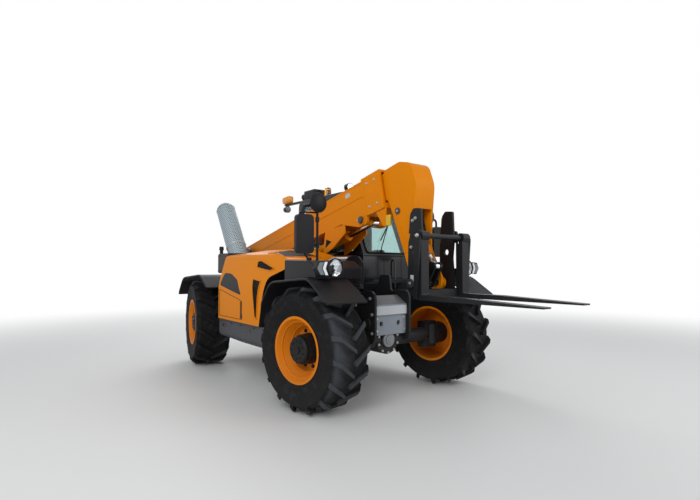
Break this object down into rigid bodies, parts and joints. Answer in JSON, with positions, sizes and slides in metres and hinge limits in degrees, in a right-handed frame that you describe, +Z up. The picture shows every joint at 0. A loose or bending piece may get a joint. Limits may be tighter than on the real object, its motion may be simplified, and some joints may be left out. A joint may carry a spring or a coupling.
{
  "type": "telehandler",
  "caption": "Telescopic handler with a side cab, a boom on a rear pivot that lifts and extends, tilting pallet forks, big lugged tyres and steering on both axles.",
  "frame": {"origin": "on the floor under the middle of the machine's box", "axes": "+X forward, towards the forks; +Y to the machine's left, the cab's side; +Z up"},
  "size_m": [5.6512, 2.5278, 2.5841],
  "materials": {
    "tyre": "matt, moulded",
    "rim_paint": "satin paint",
    "body_paint": "gloss paint",
    "dark_paint": "satin paint",
    "plate_grey": "satin paint",
    "bright_steel": "polished",
    "black_plastic": "grained",
    "window": "clear tinted",
    "amber": "clear amber",
    "seat_cover": "woven"
  },
  "bodies": {
    "machine": {"tower_cover": "body_paint", "front_axle": "dark_paint", "rear_axle": "dark_paint", "chassis_frame": "dark_paint", "rear_weight": "dark_paint", "gearbox_and_shafts": "dark_paint", "cab_shell": "dark_paint", "bay_wall": "dark_paint", "exhaust_base": "dark_paint", "engine_block": "dark_paint", "face_plate": "plate_grey", "engine_skirt": "plate_grey", "exhaust_guard": "bright_steel", "fenders": "black_plastic", "front_cowl": "black_plastic", "mirrors": "black_plastic", "fuel_tank": "black_plastic", "dash_console": "black_plastic", "steering_wheel": "black_plastic", "tail_lamps": "black_plastic", "headlights": "black_plastic", "roof_lamps": "black_plastic", "cab_glass": "window", "beacon": "amber", "seat": "seat_cover"},
    "steer_front_right": {"knuckle_front_right": "dark_paint"},
    "wheel_front_right": {"tyre_front_right": "tyre", "rim_front_right": "rim_paint"},
    "steer_front_left": {"knuckle_front_left": "dark_paint"},
    "wheel_front_left": {"tyre_front_left": "tyre", "rim_front_left": "rim_paint"},
    "steer_rear_right": {"knuckle_rear_right": "dark_paint"},
    "wheel_rear_right": {"tyre_rear_right": "tyre", "rim_rear_right": "rim_paint"},
    "steer_rear_left": {"knuckle_rear_left": "dark_paint"},
    "wheel_rear_left": {"tyre_rear_left": "tyre", "rim_rear_left": "rim_paint"},
    "boom": {"boom_outer": "body_paint"},
    "boom_inner_section": {"boom_inner": "body_paint", "boom_head": "body_paint"},
    "carriage": {"tool_carriage": "dark_paint", "fork_frame": "dark_paint", "forks": "dark_paint"},
    "door": {"cab_door": "body_paint", "door_glass": "window"},
    "hood": {"hood_shell": "body_paint"},
    "lift_barrel": {"lift_barrel": "dark_paint"},
    "lift_rod": {"lift_rod": "bright_steel"},
    "tilt_barrel": {"tilt_barrel": "dark_paint"},
    "tilt_rod": {"tilt_rod": "bright_steel"}
  },
  "joints": [
    {"name": "front_left_steering", "type": "hinge", "parent": "machine", "child": "steer_front_left", "pos_m": [0.68625, 0.77, 0.61], "axis": [0, 0, 1], "range_deg": [-44, 26]},
    {"name": "front_left_wheel_spin", "type": "hinge", "parent": "steer_front_left", "child": "wheel_front_left", "pos_m": [0.65887, 0.94285, 0.61], "axis": [-0.1564, 0.9877, 0], "continuous": true},
    {"name": "front_right_steering", "type": "hinge", "parent": "machine", "child": "steer_front_right", "pos_m": [0.68625, -0.77, 0.61], "axis": [0, 0, 1], "range_deg": [-44, 26]},
    {"name": "front_right_wheel_spin", "type": "hinge", "parent": "steer_front_right", "child": "wheel_front_right", "pos_m": [0.71363, -0.94285, 0.61], "axis": [-0.1564, 0.9877, 0], "continuous": true},
    {"name": "rear_left_steering", "type": "hinge", "parent": "machine", "child": "steer_rear_left", "pos_m": [-2.16375, 0.77, 0.61], "axis": [0, 0, 1], "range_deg": [-25, 45]},
    {"name": "rear_left_wheel_spin", "type": "hinge", "parent": "steer_rear_left", "child": "wheel_rear_left", "pos_m": [-2.13336, 0.94234, 0.61], "axis": [0.1736, 0.9848, 0], "continuous": true},
    {"name": "rear_right_steering", "type": "hinge", "parent": "machine", "child": "steer_rear_right", "pos_m": [-2.16375, -0.77, 0.61], "axis": [0, 0, 1], "range_deg": [-25, 45]},
    {"name": "rear_right_wheel_spin", "type": "hinge", "parent": "steer_rear_right", "child": "wheel_rear_right", "pos_m": [-2.19414, -0.94234, 0.61], "axis": [0.1736, 0.9848, 0], "continuous": true},
    {"name": "boom_lift", "type": "hinge", "parent": "machine", "child": "boom", "pos_m": [-2.36375, 0, 1.58], "axis": [0, -1, 0], "range_deg": [-14, 46]},
    {"name": "boom_extend", "type": "slide", "parent": "boom", "child": "boom_inner_section", "axis": [0.9781, 0, 0.2079], "range_m": [0, 2.55]},
    {"name": "lift_cylinder_swing", "type": "hinge", "parent": "machine", "child": "lift_barrel", "pos_m": [-2.11375, 0, 1.23], "axis": [0, -1, 0], "range_deg": [-15, 48]},
    {"name": "lift_rod_slide", "type": "slide", "parent": "lift_barrel", "child": "lift_rod", "axis": [0.968, 0, 0.2509], "range_m": [-0.09, 0.27]},
    {"name": "carriage_tilt", "type": "hinge", "parent": "boom_inner_section", "child": "carriage", "pos_m": [1.38625, 0, 1.25], "axis": [0, -1, 0], "range_deg": [-90, 25]},
    {"name": "tilt_cylinder_swing", "type": "hinge", "parent": "boom_inner_section", "child": "tilt_barrel", "pos_m": [1.08625, 0, 1.992], "axis": [0, -1, 0], "range_deg": [-5, 5]},
    {"name": "tilt_rod_slide", "type": "slide", "parent": "tilt_barrel", "child": "tilt_rod", "axis": [0.5646, 0, -0.8254], "range_m": [-0.1, 0.27]},
    {"name": "cab_door_hinge", "type": "hinge", "parent": "machine", "child": "door", "pos_m": [-0.97975, 1.165, 1.7], "axis": [0, 0, 1], "range_deg": [0, 85]},
    {"name": "hood_hinge", "type": "hinge", "parent": "machine", "child": "hood", "pos_m": [-0.81375, -0.2723, 1.638], "axis": [-1, 0, 0], "range_deg": [0, 65]}
  ],
  "couplings": [
    {"joint": "front_right_steering", "follows": "front_left_steering", "ratio": 1},
    {"joint": "rear_right_steering", "follows": "rear_left_steering", "ratio": 1},
    {"joint": "lift_cylinder_swing", "follows": "boom_lift", "ratio": 1.0135},
    {"joint": "lift_rod_slide", "follows": "boom_lift", "m_per_rad": 0.32292},
    {"joint": "tilt_cylinder_swing", "follows": "carriage_tilt", "ratio": 0.0217},
    {"joint": "tilt_rod_slide", "follows": "carriage_tilt", "m_per_rad": -0.15898}
  ]
}
